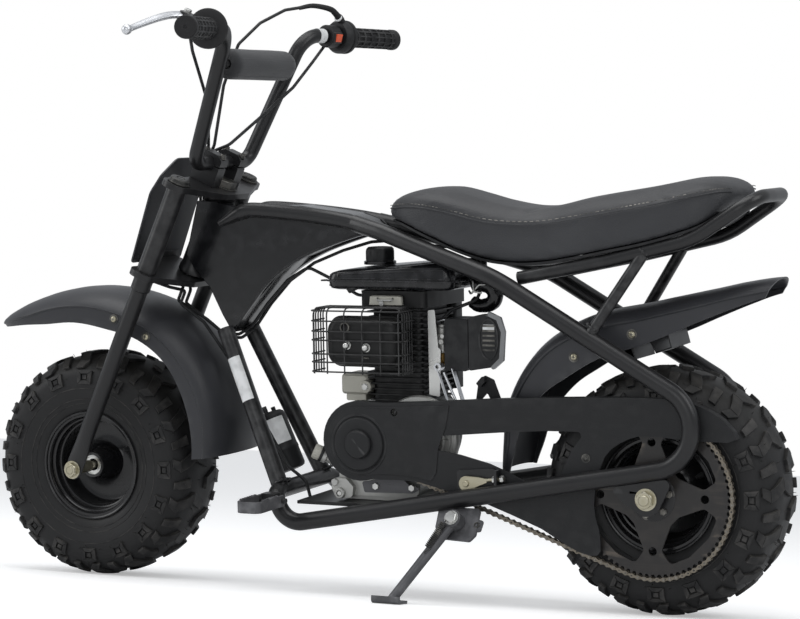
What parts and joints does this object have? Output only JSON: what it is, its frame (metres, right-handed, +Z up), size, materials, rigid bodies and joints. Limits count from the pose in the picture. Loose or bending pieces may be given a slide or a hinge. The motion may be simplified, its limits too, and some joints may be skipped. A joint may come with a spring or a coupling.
{
  "type": "minibike",
  "caption": "Small off-road minibike with lugged balloon tyres, tube frame, single cylinder engine, chain drive and a folding side stand.",
  "frame": {"origin": "on the ground under the middle of the machine as it leans on its side stand", "axes": "+X forwards, +Y to the machine's left, +Z up; the machine leans 8 degrees to its left"},
  "size_m": [1.2768, 0.6721, 0.9005],
  "materials": {
    "frame_paint": "satin black powder coat",
    "panel_gloss": "gloss black",
    "raw_cast": "cast, as made",
    "engine_black": "heat-proof black",
    "tank_gloss": "gloss black",
    "black_plastic": "grained",
    "fender_plastic": "satin grey-black",
    "seat_vinyl": "charcoal vinyl",
    "tyre_rubber": "natural rubber black",
    "grip_rubber": "soft black",
    "foam": "foam under fabric",
    "zinc": "yellow zinc plate",
    "chain_steel": "oiled steel",
    "grey_steel": "dull grey paint",
    "bright_alloy": "polished",
    "rim_black": "satin black"
  },
  "bodies": {
    "frame": {"frame_loop_left": "frame_paint", "frame_loop_right": "frame_paint", "head_tube": "frame_paint", "head_panel": "panel_gloss", "down_tubes": "frame_paint", "seat_frame": "frame_paint", "engine_plate": "frame_paint", "rear_dropouts": "frame_paint", "rear_axle_shaft": "zinc", "engine_block": "raw_cast", "cylinder_barrel": "engine_black", "blower_shroud": "engine_black", "fuel_tank": "tank_gloss", "fuel_cap": "black_plastic", "muffler": "engine_black", "muffler_cage": "frame_paint", "carburettor": "raw_cast", "airbox": "black_plastic", "chain_guard": "black_plastic", "chain": "chain_steel", "seat": "seat_vinyl", "rear_fender": "fender_plastic", "stand_bracket": "grey_steel", "peg_brackets": "frame_paint", "canister": "black_plastic", "cables_on_frame": "black_plastic"},
    "fork": {"fork_legs": "frame_paint", "lower_clamp": "frame_paint", "upper_clamp": "frame_paint", "handlebar": "frame_paint", "bar_pad": "foam", "grips": "grip_rubber", "brake_lever": "bright_alloy", "throttle_housing": "black_plastic", "number_plate": "black_plastic", "front_fender": "fender_plastic", "front_axle_shaft": "zinc", "cables_on_fork": "black_plastic"},
    "front_wheel": {"front_rim": "rim_black", "front_tyre": "tyre_rubber"},
    "rear_wheel": {"rear_rim": "rim_black", "rear_tyre": "tyre_rubber", "rear_sprocket": "rim_black", "brake_drum": "engine_black"},
    "stand": {"side_stand": "grey_steel"},
    "left_footpeg": {"left_peg": "grey_steel"},
    "right_footpeg": {"right_peg": "grey_steel"}
  },
  "joints": [
    {"name": "steer", "type": "hinge", "parent": "frame", "child": "fork", "pos_m": [0.28017, -0.04202, 0.52925], "axis": [-0.4115, 0.1268, 0.9025], "range_deg": [-35, 35]},
    {"name": "front_wheel_spin", "type": "hinge", "parent": "fork", "child": "front_wheel", "pos_m": [0.463, -0.09161, 0.17638], "axis": [0, 0.9903, -0.1392], "continuous": true},
    {"name": "rear_wheel_spin", "type": "hinge", "parent": "frame", "child": "rear_wheel", "pos_m": [-0.463, -0.09161, 0.17638], "axis": [0, 0.9903, -0.1392], "continuous": true},
    {"name": "stand_fold", "type": "hinge", "parent": "frame", "child": "stand", "pos_m": [-0.183, 0.02011, 0.11625], "axis": [0, 0.9272, 0.3746], "range_deg": [0, 125]},
    {"name": "left_peg_fold", "type": "hinge", "parent": "frame", "child": "left_footpeg", "pos_m": [0.109, 0.03252, 0.13268], "axis": [1, 0, 0], "range_deg": [0, 80]},
    {"name": "right_peg_fold", "type": "hinge", "parent": "frame", "child": "right_footpeg", "pos_m": [0.109, -0.22297, 0.16859], "axis": [-1, 0, 0], "range_deg": [0, 80]}
  ]
}
